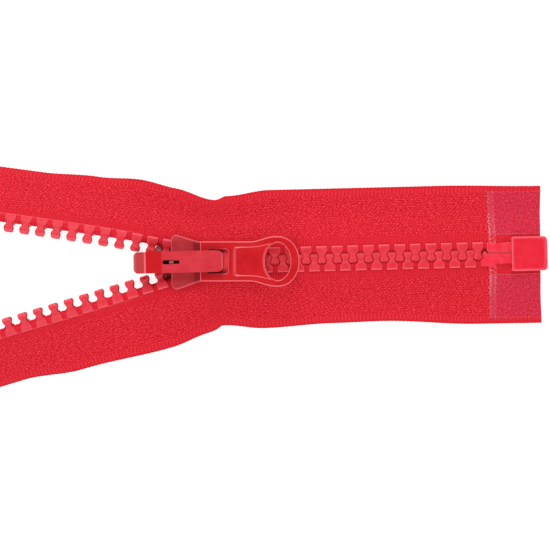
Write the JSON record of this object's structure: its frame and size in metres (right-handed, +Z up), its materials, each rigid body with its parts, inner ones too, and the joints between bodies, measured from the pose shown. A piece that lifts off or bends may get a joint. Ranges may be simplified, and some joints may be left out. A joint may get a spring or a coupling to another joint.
{
  "type": "separating zipper",
  "caption": "Moulded-tooth separating zipper, half open, with a locking slider and pull tab, woven tapes, top stops, pins and a retainer box.",
  "frame": {"origin": "centre of the retainer box's underside, on the surface that the zipper lies on", "axes": "+X along the closed chain from the slider to the retainer box, +Y to the tape with the insertion pin, +Z up off the surface"},
  "size_m": [0.1696, 0.0667, 0.0093],
  "materials": {
    "tape_fabric": "woven polyester, herringbone",
    "tooth_plastic": "moulded, satin gloss",
    "moulded_plastic": "moulded, satin gloss",
    "reinforcement_film": "thin film welded on the weave",
    "slider_paint": "enamelled die casting",
    "crown_paint": "enamelled, worn at the front",
    "pull_paint": "enamelled, gloss",
    "steel": "bare spring steel"
  },
  "bodies": {
    "base": {"retainer_box": "moulded_plastic", "box_pin": "moulded_plastic", "insertion_pin": "moulded_plastic", "upper_teeth_end": "tooth_plastic", "upper_tape_end": "tape_fabric", "lower_tape_end": "tape_fabric", "upper_film_front": "reinforcement_film", "upper_film_back": "reinforcement_film", "lower_film_front": "reinforcement_film", "lower_film_back": "reinforcement_film"},
    "upper_chain": {"upper_tape_mid": "tape_fabric", "upper_teeth_mid": "tooth_plastic"},
    "upper_leg": {"upper_tape_leg": "tape_fabric", "upper_teeth_leg": "tooth_plastic", "upper_top_stop": "moulded_plastic"},
    "lower_chain": {"lower_tape_mid": "tape_fabric", "lower_teeth_mid": "tooth_plastic"},
    "lower_leg": {"lower_tape_leg": "tape_fabric", "lower_teeth_leg": "tooth_plastic", "lower_top_stop": "moulded_plastic"},
    "slider": {"slider_body": "slider_paint", "slider_crown": "crown_paint", "lock_spring": "steel"},
    "pawl": {"lock_pawl": "steel"},
    "pull": {"pull_tab": "pull_paint"}
  },
  "joints": [
    {"name": "slider_travel", "type": "slide", "parent": "base", "child": "slider", "axis": [1, 0, 0], "range_m": [0, 0.06171], "deforming": ["upper_tape_mid", "upper_tape_leg", "upper_teeth_mid", "upper_teeth_leg", "lower_tape_mid", "lower_tape_leg", "lower_teeth_mid", "lower_teeth_leg"]},
    {"name": "upper_chain_turn", "type": "hinge", "parent": "base", "child": "upper_chain", "pos_m": [-0.01119, 0, 0.0025], "axis": [0, 0, 1], "range_deg": [-12.6, 0]},
    {"name": "upper_leg_turn", "type": "hinge", "parent": "upper_chain", "child": "upper_leg", "pos_m": [-0.0729, 0, 0.0025], "axis": [0, 0, 1], "range_deg": [0, 12.6]},
    {"name": "lower_chain_turn", "type": "hinge", "parent": "base", "child": "lower_chain", "pos_m": [-0.01259, 0, 0.0025], "axis": [0, 0, 1], "range_deg": [0, 15.7]},
    {"name": "lower_leg_turn", "type": "hinge", "parent": "lower_chain", "child": "lower_leg", "pos_m": [-0.0743, 0, 0.0025], "axis": [0, 0, 1], "range_deg": [-15.7, 0]},
    {"name": "pull_swing", "type": "hinge", "parent": "slider", "child": "pull", "pos_m": [-0.07555, 0, 0.00607], "axis": [0, -1, 0], "range_deg": [0, 130], "deforming": ["lock_spring"]},
    {"name": "pawl_lift", "type": "slide", "parent": "slider", "child": "pawl", "axis": [0, 0, 1], "range_m": [0, 0.00052]}
  ],
  "couplings": [
    {"joint": "upper_chain_turn", "follows": "slider_travel", "rad_per_m": -3.5353},
    {"joint": "upper_leg_turn", "follows": "slider_travel", "rad_per_m": 3.5353},
    {"joint": "lower_chain_turn", "follows": "slider_travel", "rad_per_m": 4.4121},
    {"joint": "lower_leg_turn", "follows": "slider_travel", "rad_per_m": -4.4121},
    {"joint": "pawl_lift", "follows": "pull_swing", "m_per_rad": 0.0002204}
  ]
}
